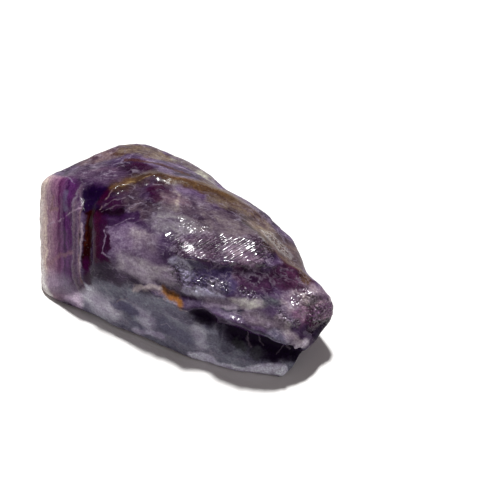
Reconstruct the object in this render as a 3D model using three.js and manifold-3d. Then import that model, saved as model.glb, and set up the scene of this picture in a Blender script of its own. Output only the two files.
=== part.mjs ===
// A rough amethyst: one broken piece of a quartz crystal, lying on its flattest break.
// X runs along the stone, from the flat banded crystal end at -X to the blunt tip at +X, and Z is up.
// The front, at -Y, is a steep break under a ledge; the back, at +Y, slopes away from the crest.
// Every length is in millimetres. The stone is 50 mm long, the size of a hand specimen.
// The corners below are places where three or more faces of the stone meet, in the stone's own
// axes. The faces are the planes through them, and the edges between the faces are worn round.

import * as THREE from "three";
import { ConvexHull } from "three/addons/math/ConvexHull.js";
import { ImprovedNoise } from "three/addons/math/ImprovedNoise.js";
import { mergeVertices } from "three/addons/utils/BufferGeometryUtils.js";
import Module from "manifold-3d";

// Driving dimensions
const CELL = 0.93; // spacing of the mesh
const EDGE_WEAR = 0.14; // how far the edges between faces are worn down
const CORNER_REACH = 0.3; // how far the faces stand out, so that worn corners keep their place
const JOIN_BLEND = 0.5; // how softly two lumps grow into each other
const SWELL = { height: 0.3, length: 7, shift: 3.7 }; // slow rise and fall of the broken faces
const CHATTER = { height: 0.14, length: 2.4, shift: 11.3 }; // short ripples on them
const SKIN = 3; // how deep under the surface the grooves and ripples are felt
const PROBE = 0.05; // step for measuring which way the surface faces
const SETTLING_STEPS = 3; // how often a vertex is moved on to the surface
const SAME_PLACE = 1e-4; // vertices closer than this are one
const MARGIN = 3; // empty cells round the stone

// The main block. Its corners run round the stone in the order of its parts.
const bodyCorners = [
  // the steep bevel at the crystal end, outer side then inner side
  [-25.2, 0.8, 9.2],
  [-25.2, 0, 8.6],
  [-23.6, -3.7, 6.6],
  [-21.6, -7.8, 3.6],
  [-19.4, -12.2, 0.5],
  [-23.9, 1.4, 10.2],
  [-23.9, 0.4, 10.6],
  [-17.8, -12.8, 1],
  // the banded crystal face
  [-18.9, 0.5, 13.1],
  [-14.5, -4.6, 13.1],
  [-11.5, -12, 6.7],
  [-11.3, -13, 0.6],
  // the swell beside it
  [-9.8, -10.3, 10.8],
  [-6.5, -10.9, 9.4],
  // the crest and the flat on top
  [-12.2, 0.6, 15],
  [-7.3, 4.6, 16],
  [-4.4, -8.6, 14.8],
  [-0.6, -5.4, 17],
  [6, -6.5, 15.8],
  [10.5, 0.9, 15.2],
  [-1.4, 6.8, 14.6],
  [6.1, 7.6, 12.6],
  [12.9, -2.4, 14.4],
  [16.1, -0.6, 13.2],
  [18.7, 0.5, 11.8],
  // the back edge
  [-20.1, 7.6, 10.8],
  [-17.2, 11, 10.8],
  [-13, 12.9, 10.8],
  [-10.3, 13.2, 10.4],
  [-6.2, 13.8, 9.6],
  [-3.4, 13.2, 9.2],
  [-0.6, 11.8, 9.4],
  [4.8, 10, 10],
  [11.7, 8.5, 9.5],
  [14.6, 7.2, 9],
  [18.4, 3.2, 8.6],
  [22.4, -0.8, 6],
  // the ledge above the front break
  [-5.8, -12.6, 5.4],
  [-3.8, -11.9, 7.2],
  [-0.9, -10.8, 10.2],
  [5.3, -11.4, 9.8],
  [10.6, -11, 10.4],
  [14.4, -10.5, 10.3],
  [17.6, -10.2, 9.3],
  [20.7, -9.6, 7.9],
  [22.6, -8.9, 5.3],
  // the front edge, where the break comes down to the table
  [-17.6, -12.7, 0.2],
  [-14.7, -13.1, 0.2],
  [-9.2, -13, 0.2],
  [-5.4, -12.9, 0.2],
  [-0.3, -12.6, 0.2],
  [4.7, -13.2, 0.2],
  [10.9, -13.4, 0.2],
  [15.2, -12.6, 0.2],
  [21, -11, 0.2],
  [21.9, -9, 0.6],
  // under the back edge
  [-18, 9, 4],
  [-11, 11.2, 3.6],
  [4, 9, 3],
  [14, 5.6, 3],
  [21, -0.9, 2.5],
  // the break that it lies on
  [-20.6, -4.8, -0.6],
  [-18, -11, -0.6],
  [-12, -12.2, -0.6],
  [0, -12, -0.6],
  [11, -12.6, -0.6],
  [20.2, -10.4, -0.6],
  [20.8, -8.4, -0.6],
  [19, -2.4, -0.6],
  [12, 3, -0.6],
  [-8, 8.2, -0.6],
  [-16.6, 4.6, -0.6],
];

// The blunt tip, a lump that grew against the end of the block.
const tipCorners = [
  [16, -1.4, 11.8],
  [18.6, 1.6, 10],
  [21.8, 0.2, 10.4],
  [21.7, -2.9, 11.2],
  [24.5, -0.4, 9],
  [25.3, -1.2, 7.6],
  [25.3, -2.7, 6.2],
  [24.9, -4.8, 5.8],
  [24.2, -6.3, 5.5],
  [23.4, -7.9, 5.4],
  [20, -8, 9.4],
  [16, -8.4, 8.6],
  [22, 0.4, 3.4],
  [22.4, -4.8, 2.2],
  [16, 2.6, 5],
];

// Lips and grooves, each along a string of points on the surface. A height below 0 is a groove.
const seams = [
  {
    // the groove at the inner edge of the banded face
    height: -0.6,
    width: 1,
    along: [
      [-15.6, -1.7, 13.4],
      [-14, -4.3, 13],
      [-12.3, -7.6, 11.7],
      [-11, -10.3, 9.8],
      [-10.4, -11.8, 7],
    ],
  },
  {
    // the lip along the crest
    height: 0.4,
    width: 0.9,
    along: [
      [-11.9, 0.2, 15.1],
      [-9.8, 2.4, 15.4],
      [-7.1, 4.8, 15.7],
      [-3.7, 5.6, 15.2],
      [-1.3, 6.6, 14.6],
      [4, 7.6, 12.9],
      [8, 7.4, 11.8],
    ],
  },
  {
    // the dip in front of it
    height: -0.4,
    width: 1.5,
    along: [
      [-9.6, 0.8, 15.5],
      [-6.9, 2.7, 16],
      [-3.7, 3.7, 15.7],
    ],
  },
  {
    // the trough behind the back edge, which leaves a thin flake standing
    height: -0.5,
    width: 1.1,
    along: [
      [-8.8, 11.2, 11.9],
      [-5.5, 11.4, 11.5],
      [-2.2, 10.2, 11.6],
    ],
  },
  {
    // the ridge that bounds the combed flat on top
    height: 0.35,
    width: 0.9,
    along: [
      [3, -6.9, 15.8],
      [7.2, -5.9, 15.6],
      [9.2, -5, 15.2],
      [12.9, -2.5, 14.3],
      [16.1, -0.8, 13.1],
      [18.8, 0.2, 11.8],
      [21.9, -0.3, 10.6],
    ],
  },
  {
    // the long hollow under that ridge
    height: -0.55,
    width: 1.5,
    along: [
      [4.8, -8, 14.5],
      [8.5, -7.2, 14.2],
      [12.2, -5, 13.5],
      [16.3, -3.3, 12.2],
      [20, -2.8, 11],
    ],
  },
  {
    // the edge of the ledge above the front break
    height: 0.4,
    width: 0.8,
    along: [
      [-5.8, -12.4, 5.4],
      [-3.8, -11.8, 7.2],
      [-0.9, -10.9, 10.3],
      [1.3, -11.2, 10],
      [5.3, -11.4, 9.8],
      [10.6, -11, 10.4],
      [14.4, -10.5, 10.3],
      [17.6, -10, 9.2],
      [20.7, -9.5, 7.8],
      [22.4, -9, 6],
    ],
  },
  {
    // the groove behind that edge, stained by iron where it is deepest
    height: -0.55,
    width: 1,
    along: [
      [0.4, -10, 12],
      [3.1, -10.4, 11.2],
      [6.3, -10.4, 11.1],
      [10, -9.7, 11.2],
      [13.8, -9, 10.9],
      [17.5, -8.4, 9.8],
      [20.8, -7.8, 8.5],
    ],
  },
  {
    // the long dark hollow under the ledge, at the blunt end of the front
    height: -1.6,
    width: 2.1,
    along: [
      [14.2, -11.6, 6.6],
      [17.8, -10.8, 5.8],
      [20.8, -10.2, 5.4],
    ],
  },
];

// Hollows, each round a point on the surface, and a rise where the depth is below 0.
const hollows = [
  { at: [-14.5, -1.9, 13.5], reach: 1.7, depth: 0.6 }, // the dark wedge at the top of the banded face
  { at: [3.3, -10.9, 10.8], reach: 1.4, depth: 0.5 }, // the stained pit
  { at: [8.8, -11.5, 9.4], reach: 1.3, depth: 0.9 }, // the dark nick under the ledge
  { at: [-3.8, -12.4, 5.2], reach: 2.2, depth: 0.4 },
  { at: [2.8, -12.7, 5], reach: 3, depth: 0.4 },
  { at: [22.2, -3.4, 9.9], reach: 1.3, depth: 0.5 }, // the eye of the tip
  { at: [24.6, -4.1, 6.4], reach: 1.4, depth: 0.4 },
  { at: [-22, 2.4, 11], reach: 1.8, depth: 0.35 },
  { at: [-17, 6.5, 12.2], reach: 3, depth: 0.4 },
  { at: [9.6, 5.7, 12.4], reach: 2.6, depth: 0.4 },
  { at: [0.8, 10.4, 10.4], reach: 1.8, depth: 0.7 }, // the notch at the end of the flake
  { at: [11.6, 0.8, 14.7], reach: 3.4, depth: -0.8 }, // the raised end of the combed flat
];

// Shell-shaped chips, broken out of the sides that lean away from the crest.
const chips = [
  { at: [-20.8, 6.2, 6], reach: 4.2, depth: 0.8 },
  { at: [-9, 12.4, 6], reach: 5, depth: 0.9 },
  { at: [1.4, 10.8, 5.4], reach: 4.4, depth: 1 },
  { at: [11.6, 7.6, 5], reach: 4.6, depth: 0.9 },
  { at: [19.6, 1.8, 5.6], reach: 3.2, depth: 0.6 },
  { at: [-22.4, -3, 3.4], reach: 3.6, depth: 0.7 },
  { at: [9.4, -13, 2.6], reach: 2.6, depth: 0.4 },
];

// The planes of the faces round a set of corners.
function facesRound(corners) {
  const points = corners.map((c) => new THREE.Vector3(...c));
  return new ConvexHull().setFromPoints(points).faces.map((face) => ({
    normal: face.normal.clone(),
    constant: face.constant,
  }));
}

// The largest of several numbers, with the steps between them smoothed over a distance.
function smoothMax(values, distance) {
  const top = Math.max(...values);
  let sum = 0;
  for (const value of values) sum += Math.exp((value - top) / distance);
  return top + distance * Math.log(sum);
}

function smoothMin(a, b, distance) {
  return -smoothMax([-a, -b], distance);
}

// How far a point lies outside a block: below 0 inside it.
function outside(faces, p) {
  const distances = faces.map((f) => f.normal.dot(p) - f.constant);
  return smoothMax(distances, EDGE_WEAR) - CORNER_REACH;
}

const noise = new ImprovedNoise();

function ripple(p, { height, length, shift }) {
  return height * noise.noise(p.x / length + shift, p.y / length, p.z / length);
}

const body = facesRound(bodyCorners);
const tip = facesRound(tipCorners);

// The stone before anything has broken off it.
function blockField(p) {
  return smoothMin(outside(body, p), outside(tip, p), JOIN_BLEND);
}

// Which way the field rises at a point, which is the way the surface there faces.
function risesTowards(field, p) {
  const rise = (dx, dy, dz) =>
    field(new THREE.Vector3(p.x + dx, p.y + dy, p.z + dz)) -
    field(new THREE.Vector3(p.x - dx, p.y - dy, p.z - dz));
  return new THREE.Vector3(rise(PROBE, 0, 0), rise(0, PROBE, 0), rise(0, 0, PROBE));
}

const seamLines = seams.map(({ height, width, along }) => ({
  height,
  width,
  segments: along.slice(1).map((end, i) => {
    return new THREE.Line3(new THREE.Vector3(...along[i]), new THREE.Vector3(...end));
  }),
}));

// Each chip is the hollow that a ball leaves: the ball sits on the surface and dips into it.
const chipBalls = chips.map(({ at, reach, depth }) => {
  const radius = (reach ** 2 + depth ** 2) / (2 * depth);
  const centre = new THREE.Vector3(...at);
  const slope = risesTowards(blockField, centre).divideScalar(2 * PROBE);
  const outward = slope.clone().normalize();
  centre.addScaledVector(outward, -blockField(centre) / slope.length());
  return { centre: centre.addScaledVector(outward, radius - depth), radius };
});

// The stone itself: the block, its lips, grooves, hollows and ripples, then what chipped off.
const nearest = new THREE.Vector3();
function stoneField(p) {
  let field = blockField(p);
  if (Math.abs(field) > SKIN) return field;
  for (const { height, width, segments } of seamLines) {
    const gaps = segments.map((s) => s.closestPointToPoint(p, true, nearest).distanceTo(p));
    field -= height * Math.exp(-((Math.min(...gaps) / width) ** 2));
  }
  for (const { at, reach, depth } of hollows)
    field += depth * Math.exp(-(nearest.set(...at).distanceToSquared(p) / reach ** 2));
  field += ripple(p, SWELL) + ripple(p, CHATTER);
  for (const { centre, radius } of chipBalls)
    field = Math.max(field, radius - centre.distanceTo(p));
  return field;
}

// Turns a field into a closed mesh: one vertex in each cell that the surface crosses, and one
// four-sided face round each cell edge that it crosses.
function meshOf(field, box, cell) {
  const size = box.getSize(new THREE.Vector3());
  const count = [size.x, size.y, size.z].map((s) => Math.ceil(s / cell) + 1);
  const [nx, ny, nz] = count;
  const at = (i, j, k) => i + nx * (j + ny * k);
  const place = (i, j, k) =>
    new THREE.Vector3(i, j, k).multiplyScalar(cell).add(box.min);
  const values = new Float64Array(nx * ny * nz);
  for (let k = 0; k < nz; k++)
    for (let j = 0; j < ny; j++)
      for (let i = 0; i < nx; i++) values[at(i, j, k)] = field(place(i, j, k));

  const steps = [
    [1, 0, 0],
    [0, 1, 0],
    [0, 0, 1],
  ];
  const vertices = [];
  const vertexOf = new Map();
  const cellVertex = (i, j, k) => {
    const key = at(i, j, k);
    if (vertexOf.has(key)) return vertexOf.get(key);
    const middle = new THREE.Vector3();
    let crossings = 0;
    for (const [axis, step] of steps.entries())
      for (let corner = 0; corner < 4; corner++) {
        const near = [i, j, k];
        near[(axis + 1) % 3] += corner & 1;
        near[(axis + 2) % 3] += corner >> 1;
        const far = near.map((n, a) => n + step[a]);
        const a = values[at(...near)];
        const b = values[at(...far)];
        if (a < 0 === b < 0) continue;
        middle.add(place(...near).lerp(place(...far), a / (a - b)));
        crossings += 1;
      }
    middle.divideScalar(crossings);
    for (let round = 0; round < SETTLING_STEPS; round++) {
      const slope = risesTowards(field, middle).divideScalar(2 * PROBE);
      middle.addScaledVector(slope, -field(middle) / slope.lengthSq());
    }
    vertexOf.set(key, vertices.length);
    vertices.push(middle);
    return vertices.length - 1;
  };

  const triangles = [];
  for (let k = 1; k < nz - 1; k++)
    for (let j = 1; j < ny - 1; j++)
      for (let i = 1; i < nx - 1; i++)
        for (const [axis, step] of steps.entries()) {
          const inside = values[at(i, j, k)] < 0;
          const next = values[at(i + step[0], j + step[1], k + step[2])] < 0;
          if (inside === next) continue;
          const u = steps[(axis + 1) % 3];
          const v = steps[(axis + 2) % 3];
          const ring = [
            [0, 0],
            [1, 0],
            [1, 1],
            [0, 1],
          ].map(([a, b]) =>
            cellVertex(i - a * u[0] - b * v[0], j - a * u[1] - b * v[1], k - a * u[2] - b * v[2]),
          );
          if (next) ring.reverse();
          const across = (a, b) => vertices[ring[a]].distanceTo(vertices[ring[b]]);
          if (across(0, 2) < across(1, 3))
            triangles.push(ring[0], ring[1], ring[2], ring[0], ring[2], ring[3]);
          else triangles.push(ring[0], ring[1], ring[3], ring[1], ring[2], ring[3]);
        }
  const geometry = new THREE.BufferGeometry().setFromPoints(vertices);
  return geometry.setIndex(triangles);
}

const reach = new THREE.Box3()
  .setFromPoints([...bodyCorners, ...tipCorners].map((c) => new THREE.Vector3(...c)))
  .expandByScalar(MARGIN * CELL);

const wasm = await Module();
wasm.setup();

function solidFrom(geometry) {
  const bare = geometry.clone();
  bare.deleteAttribute("normal");
  bare.deleteAttribute("uv");
  const merged = mergeVertices(bare, SAME_PLACE);
  return new wasm.Manifold(
    new wasm.Mesh({
      numProp: 3,
      vertProperties: merged.attributes.position.array,
      triVerts: new Uint32Array(merged.index.array),
    }),
  );
}

function geometryFrom(solid) {
  const mesh = solid.getMesh();
  return new THREE.BufferGeometry()
    .setAttribute("position", new THREE.BufferAttribute(mesh.vertProperties, 3))
    .setIndex(new THREE.BufferAttribute(mesh.triVerts, 1));
}

// The break that it lies on is flat, so everything below it is cut away. A vertex that is nearly on
// the cut is moved under it first, so that the cut leaves no slivers.
const BELOW = 100;
const NEAR_CUT = 0.08;
const rough = meshOf(stoneField, reach, CELL);
const heights = rough.attributes.position;
for (let i = 0; i < heights.count; i++)
  if (Math.abs(heights.getZ(i)) < NEAR_CUT) heights.setZ(i, -NEAR_CUT);
const underneath = new THREE.BoxGeometry(BELOW, BELOW, BELOW).translate(0, 0, -BELOW / 2);
const stone = geometryFrom(solidFrom(rough).subtract(solidFrom(underneath)));

// The origin is on the resting break, under the middle of the stone.
stone.computeBoundingBox();
const middle = stone.boundingBox.getCenter(new THREE.Vector3());
stone.translate(-middle.x, -middle.y, 0);
stone.computeVertexNormals();

const amethyst = new THREE.MeshStandardMaterial({
  color: 0x6e5880,
  roughness: 0.3,
  metalness: 0,
});

const stoneMesh = new THREE.Mesh(stone, amethyst);
stoneMesh.name = "amethyst_stone";

const group = new THREE.Group();
group.add(stoneMesh);

export default group;
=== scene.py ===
"""A rough amethyst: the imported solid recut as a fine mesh, with the stone's own colours, veils and gloss.

Places on the stone are in millimetres in the frame of the solid: X runs from the flat banded crystal
end to the blunt tip, Z is up, and the ledged front faces -Y.
"""

import math

import bpy
import numpy as np
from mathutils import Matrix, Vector


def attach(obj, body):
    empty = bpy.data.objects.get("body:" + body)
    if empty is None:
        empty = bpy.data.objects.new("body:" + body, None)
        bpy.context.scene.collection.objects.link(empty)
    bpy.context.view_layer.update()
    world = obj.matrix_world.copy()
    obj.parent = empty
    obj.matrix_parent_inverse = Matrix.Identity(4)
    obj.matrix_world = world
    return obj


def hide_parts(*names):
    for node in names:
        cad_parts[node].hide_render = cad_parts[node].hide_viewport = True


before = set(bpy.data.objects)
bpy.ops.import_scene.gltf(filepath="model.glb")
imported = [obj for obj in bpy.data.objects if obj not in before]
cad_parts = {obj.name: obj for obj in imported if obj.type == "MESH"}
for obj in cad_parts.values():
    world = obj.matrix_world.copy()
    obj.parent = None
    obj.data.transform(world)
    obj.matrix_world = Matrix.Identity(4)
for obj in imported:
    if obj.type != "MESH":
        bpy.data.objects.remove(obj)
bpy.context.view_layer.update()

MM = 0.001

# The camera stands in front of the stone and looks down on it.
VIEW_AZIMUTH = 25
VIEW_ELEVATION = 55
VIEW_DISTANCE = 210.4 * MM
VIEW_MIDDLE = Vector((9.76, 2.60, 9.0)) * MM
LENS = 100

# Mesh sizes: the whole stone, how often it is smoothed, and how many cuts its finest places get.
FINE_CELL = 0.26 * MM
SMOOTHING = 4
COMB_CUTS = 2
ROUGH_CUTS = 1

# Fine relief starts this far above the table, in mm.
RELIEF_FROM = 0.35

# Ripples over the whole stone: how high and how long.
RIPPLE_HEIGHT = 0.02
RIPPLE_LENGTH = 1.4

# Lips and grooves that are finer than the solid holds: height, half width and the line they follow.
LINES_OF_RELIEF = [
    # the two edges of the pale bevel, and the growth lines of the banded face beside it
    (0.05, 0.30, [(-23.4, -1.2, 10.3), (-17.9, -12.7, 1.9)]),
    (-0.07, 0.22, [(-20.6, -1.4, 12.0), (-15.6, -12.2, 5.0)]),
    (0.06, 0.22, [(-16.9, -3.4, 12.4), (-13.0, -11.6, 7.0)]),
    (-0.06, 0.22, [(-16.3, -3.4, 12.5), (-12.6, -11.6, 7.2)]),
    (0.08, 0.30, [(-14.6, -4.8, 12.6), (-14.2, -5.6, 12.4), (-12.6, -9.6, 9.6), (-12.0, -12.2, 5.6)]),
    # the broken edges of the crest
    (0.16, 0.28, [(-11.7, -0.2, 15.4), (-10.9, 1.0, 15.4), (-9.0, 2.6, 15.8), (-7.2, 4.4, 16.1)]),
    (-0.16, 0.35, [(-10.6, 0.2, 15.5), (-8.6, 1.6, 15.8), (-6.6, 3.2, 16.0)]),
    (0.14, 0.30, [(-5.6, 5.3, 15.8), (-3.5, 5.5, 15.7), (-1.2, 6.4, 15.1), (1.3, 6.9, 14.5)]),
    # the ridge that bounds the combed flat
    (0.20, 0.32, [(3.1, -7.1, 16.0), (5.2, -6.7, 16.1), (7.3, -6.0, 15.9), (9.2, -5.2, 15.5)]),
    (0.20, 0.32, [(9.2, -5.2, 15.5), (11.2, -4.0, 15.1), (13.0, -2.6, 14.6), (16.2, -0.8, 13.5)]),
    (0.14, 0.32, [(16.2, -0.8, 13.5), (18.8, 0.2, 12.2), (20.5, 0.5, 11.0)]),
    # the edge of the ledge, and the second edge that comes up to it
    (0.18, 0.28, [(-5.7, -12.7, 5.6), (-3.6, -12.1, 7.5), (-2.0, -11.7, 9.3), (-0.7, -11.1, 10.7)]),
    (0.20, 0.28, [(-0.7, -11.1, 10.7), (1.4, -11.4, 10.3), (2.9, -11.4, 9.9), (5.4, -11.6, 10.0)]),
    (0.20, 0.30, [(5.4, -11.6, 10.0), (7.7, -11.3, 10.2), (10.7, -11.1, 10.6), (14.5, -10.7, 10.7)]),
    (0.20, 0.30, [(14.5, -10.7, 10.7), (17.7, -10.3, 9.5), (20.8, -9.7, 8.0), (22.6, -9.0, 6.0)]),
    # cracks in the dark glass under the ledge
    (-0.14, 0.20, [(14.9, -11.2, 7.8), (16.0, -10.9, 5.9), (16.4, -10.9, 4.6)]),
    (0.16, 0.22, [(15.6, -10.9, 7.9), (18.2, -10.3, 7.2), (20.6, -9.9, 6.4), (22.6, -9.4, 5.6)]),
    (-0.12, 0.20, [(19.4, -10.2, 6.9), (20.6, -10.1, 5.2), (21.4, -10.2, 3.8)]),
]

# How far those lines wander from side to side, and how unevenly they are worn.
LINE_SWAY = 0.22
LINE_WEAR = 0.5

# Recesses under the ledge: how deep under the roof, how far down they reach, and the line of the roof.
RECESSES = [
    (
        1.5,
        5.6,
        [(12.6, -11.2, 8.8), (14.4, -11.0, 8.6), (17.6, -10.4, 7.9), (21.0, -9.6, 6.3), (22.2, -9.2, 5.4)],
    ),
    (0.8, 2.6, [(7.8, -11.4, 9.9), (9.6, -11.2, 10.0)]),
]

# How thick their roof is, how far they run out at each end, and how much a place has to face the front.
RECESS_ROOF = 0.6
RECESS_END = 1.6
RECESS_FACING = -0.25

# The combed flat on top: steep little steps side by side, each a long slope and a short drop.
COMB_LINE = [(2.6, -5.2, 16.6), (7.4, -3.4, 15.9), (12.4, -1.0, 14.6)]
COMB_REACH = 3.0
COMB_ACROSS = (0.88, -0.47, 0.0)
COMB_STEP = 0.6
COMB_DEPTH = 0.15
COMB_DROP = 0.16
COMB_SWAY = 0.07
COMB_WEAR = 0.6

# Ground broken into many small crystal faces: how steep they stand, how far it reaches, and its line.
ROUGH_GROUND = [
    (0.34, 1.9, [(3.4, -8.4, 14.2), (5.6, -8.9, 13.2)]),
    (0.30, 1.2, [(7.4, -8.2, 13.4), (10.4, -7.6, 13.3)]),
    (0.30, 1.0, [(12.8, -7.0, 12.7), (14.4, -6.6, 12.2)]),
    (0.34, 2.6, [(21.4, -3.2, 10.6), (23.4, -3.2, 9.0), (24.2, -2.4, 8.0)]),
    (0.30, 0.9, [(19.0, -6.8, 10.3), (21.6, -6.4, 9.1)]),
    (0.22, 1.6, [(1.2, -1.6, 16.6), (3.4, -1.9, 16.4)]),
    (0.20, 1.4, [(12.2, 4.0, 12.6), (15.6, 2.6, 12.0)]),
]

# Those faces: how wide each is, how closely they crowd, the fewest of them, and how far one may stand out.
FACE_SIZE = 0.62
FACE_CROWDING = 1.6
FEWEST_FACES = 8
FACE_LIFT = 0.25


def colour(code):
    """A linear colour from a hex code."""
    parts = [int(code[i : i + 2], 16) / 255 for i in (0, 2, 4)]
    linear = [c / 12.92 if c <= 0.04045 else ((c + 0.055) / 1.055) ** 2.4 for c in parts]
    return (*linear, 1.0)


# The stone's shape


def only(piece):
    """Makes PIECE the only selected object, and the active one."""
    bpy.ops.object.select_all(action="DESELECT")
    piece.select_set(True)
    bpy.context.view_layer.objects.active = piece


def finish_with(piece, kind, **settings):
    """Adds a modifier to PIECE and applies it."""
    only(piece)
    modifier = piece.modifiers.new(kind.title(), kind)
    for name, value in settings.items():
        setattr(modifier, name, value)
    bpy.ops.object.modifier_apply(modifier=modifier.name)


def copy_of_solid():
    """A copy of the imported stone, its loose triangles merged."""
    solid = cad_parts["amethyst_stone"]
    stone = bpy.data.objects.new("rough_amethyst", solid.data.copy())
    bpy.context.collection.objects.link(stone)
    stone.data.materials.clear()
    only(stone)
    bpy.ops.object.mode_set(mode="EDIT")
    bpy.ops.mesh.select_all(action="SELECT")
    bpy.ops.mesh.remove_doubles(threshold=0.001 * MM)
    bpy.ops.object.mode_set(mode="OBJECT")
    return stone


def corners_of(stone):
    """The stone's vertices, in mm."""
    places = np.empty(len(stone.data.vertices) * 3)
    stone.data.vertices.foreach_get("co", places)
    return places.reshape(-1, 3) / MM


def distance_to(line, places):
    """How far each of PLACES is from a bent line."""
    nearest = np.full(len(places), np.inf)
    for start, end in zip(np.array(line[:-1]), np.array(line[1:])):
        along = end - start
        share = np.clip((places - start) @ along / (along @ along), 0, 1)
        gap = np.linalg.norm(places - start - share[:, None] * along, axis=1)
        nearest = np.minimum(nearest, gap)
    return nearest


def fade_out(distance, reach):
    """1 in the middle and 0 past REACH, eased between."""
    share = np.clip(1.6 * (1 - distance / reach), 0, 1)
    return share * share * (3 - 2 * share)


def waves(places, length, seed):
    """Uneven waves about LENGTH mm long, mostly between -1 and 1: plane waves that run every way."""
    draw = np.random.default_rng(seed)
    total = np.zeros(len(places))
    for _ in range(9):
        way = draw.normal(size=3)
        way *= 2 * math.pi / (length * draw.uniform(0.6, 1.5) * np.linalg.norm(way))
        total += np.sin(places @ way + draw.uniform(0, 2 * math.pi))
    return total / 4


def cut_finer(stone, line, reach, cuts):
    """Cuts the faces near a line into smaller ones."""
    only(stone)
    bpy.ops.object.mode_set(mode="EDIT")
    bpy.ops.mesh.select_mode(type="FACE")
    bpy.ops.mesh.select_all(action="DESELECT")
    bpy.ops.object.mode_set(mode="OBJECT")
    centres = np.empty(len(stone.data.polygons) * 3)
    stone.data.polygons.foreach_get("center", centres)
    near = distance_to(line, centres.reshape(-1, 3) / MM) < reach
    stone.data.polygons.foreach_set("select", near)
    bpy.ops.object.mode_set(mode="EDIT")
    bpy.ops.mesh.subdivide(number_cuts=cuts, smoothness=0)
    bpy.ops.object.mode_set(mode="OBJECT")


def push_out(stone, name, heights):
    """Moves the surface out by HEIGHTS in mm, one for each vertex, and in where they are below 0."""
    for side, shares in (("out", heights), ("in", -heights)):
        most = shares.max()
        if most <= 0:
            continue
        group = stone.vertex_groups.new(name=f"{name} {side}")
        for index in np.flatnonzero(shares > 0.002):
            group.add([int(index)], shares[index] / most, "REPLACE")
        strength = most * MM if side == "out" else -most * MM
        finish_with(stone, "DISPLACE", vertex_group=group.name, strength=strength, mid_level=0)
    stone.vertex_groups.clear()


def lips_and_grooves(places):
    """Heights of the lips, and depths of the grooves, along their lines."""
    swayed = places + LINE_SWAY * np.stack([waves(places, 1.7, seed) for seed in (3, 4, 5)], axis=1)
    wear = 1 + LINE_WEAR * waves(places, 2.6, 11)
    heights = np.zeros(len(places))
    for height, width, line in LINES_OF_RELIEF:
        heights += height * wear * np.exp(-((distance_to(line, swayed) / width) ** 2))
    return heights


def recesses(places, facing):
    """How far the front is hollowed under the ledge: most at the roof, and less and less below it.

    FACING is the Y part of each place's normal.
    """
    depths = np.zeros(len(places))
    for depth, drop, line in RECESSES:
        for start, end in zip(np.array(line[:-1]), np.array(line[1:])):
            along = end - start
            level = along * (1, 1, 0)
            length = math.sqrt(level @ level)
            reach = (places - start) @ level / length
            share = np.clip(reach / length, 0, 1)
            below = places[:, 2] - start[2] - share * along[2]
            hollow = np.where(below < 0, 1 + below / drop, 1 - below / RECESS_ROOF)
            past_end = np.abs(reach - share * length)
            hollow = depth * np.clip(hollow, 0, 1) * fade_out(past_end, RECESS_END)
            depths = np.maximum(depths, np.where(facing < RECESS_FACING, hollow, 0))
    return depths


def comb_steps(places):
    """Steps across the combed flat: each rises slowly and drops at once."""
    worn = fade_out(distance_to(COMB_LINE, places), COMB_REACH)
    across = places @ np.array(COMB_ACROSS) + COMB_SWAY * waves(places, 4.0, 21)
    share = np.mod(across / COMB_STEP, 1)
    rise = np.where(share < 1 - COMB_DROP, share / (1 - COMB_DROP), (1 - share) / COMB_DROP)
    depth = COMB_DEPTH * (1 + COMB_WEAR * waves(places, 2.2, 22))
    return worn * depth * (rise - 0.5)


def small_faces(places):
    """Rough ground: each place takes the tilt of the nearest of many seeds, so it lies in little planes."""
    draw = np.random.default_rng(7)
    area_each = (FINE_CELL / MM) ** 2 / (1 + ROUGH_CUTS) ** 2
    heights = np.zeros(len(places))
    for steepness, reach, line in ROUGH_GROUND:
        gaps = distance_to(line, places)
        near = np.flatnonzero(gaps < reach)
        count = max(FEWEST_FACES, int(FACE_CROWDING * len(near) * area_each / FACE_SIZE**2))
        seeds = places[draw.choice(near, count, replace=False)]
        tilts = draw.normal(scale=steepness, size=(count, 3))
        offsets = places[near][:, None, :] - seeds[None, :, :]
        owner = np.argmin((offsets**2).sum(axis=2), axis=1)
        own = offsets[np.arange(len(near)), owner]
        lift = (own * tilts[owner]).sum(axis=1)
        heights[near] += fade_out(gaps[near], reach) * np.clip(lift, -FACE_LIFT, FACE_LIFT)
    return heights


def make_stone():
    """The stone as one fine mesh, with its relief moved into it."""
    stone = copy_of_solid()
    finish_with(stone, "REMESH", mode="VOXEL", voxel_size=FINE_CELL)
    finish_with(stone, "SMOOTH", factor=0.5, iterations=SMOOTHING)
    cut_finer(stone, COMB_LINE, COMB_REACH, COMB_CUTS)
    for _, reach, line in ROUGH_GROUND:
        cut_finer(stone, line, reach, ROUGH_CUTS)
    places = corners_of(stone)
    normals = np.empty(len(stone.data.vertices) * 3)
    stone.data.vertex_normals.foreach_get("vector", normals)
    heights = lips_and_grooves(places) + small_faces(places)
    heights += RIPPLE_HEIGHT * waves(places, RIPPLE_LENGTH, 31)
    heights -= recesses(places, normals.reshape(-1, 3)[:, 1])
    heights[places[:, 2] < RELIEF_FROM] = 0
    push_out(stone, "relief", heights)
    push_out(stone, "comb", comb_steps(corners_of(stone)))
    only(stone)
    bpy.ops.object.shade_smooth()
    return stone


# The stone's material

# The ground under all else, where it is deep and where it is cloudy.
GROUND = ("2c1834", "584860")

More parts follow.
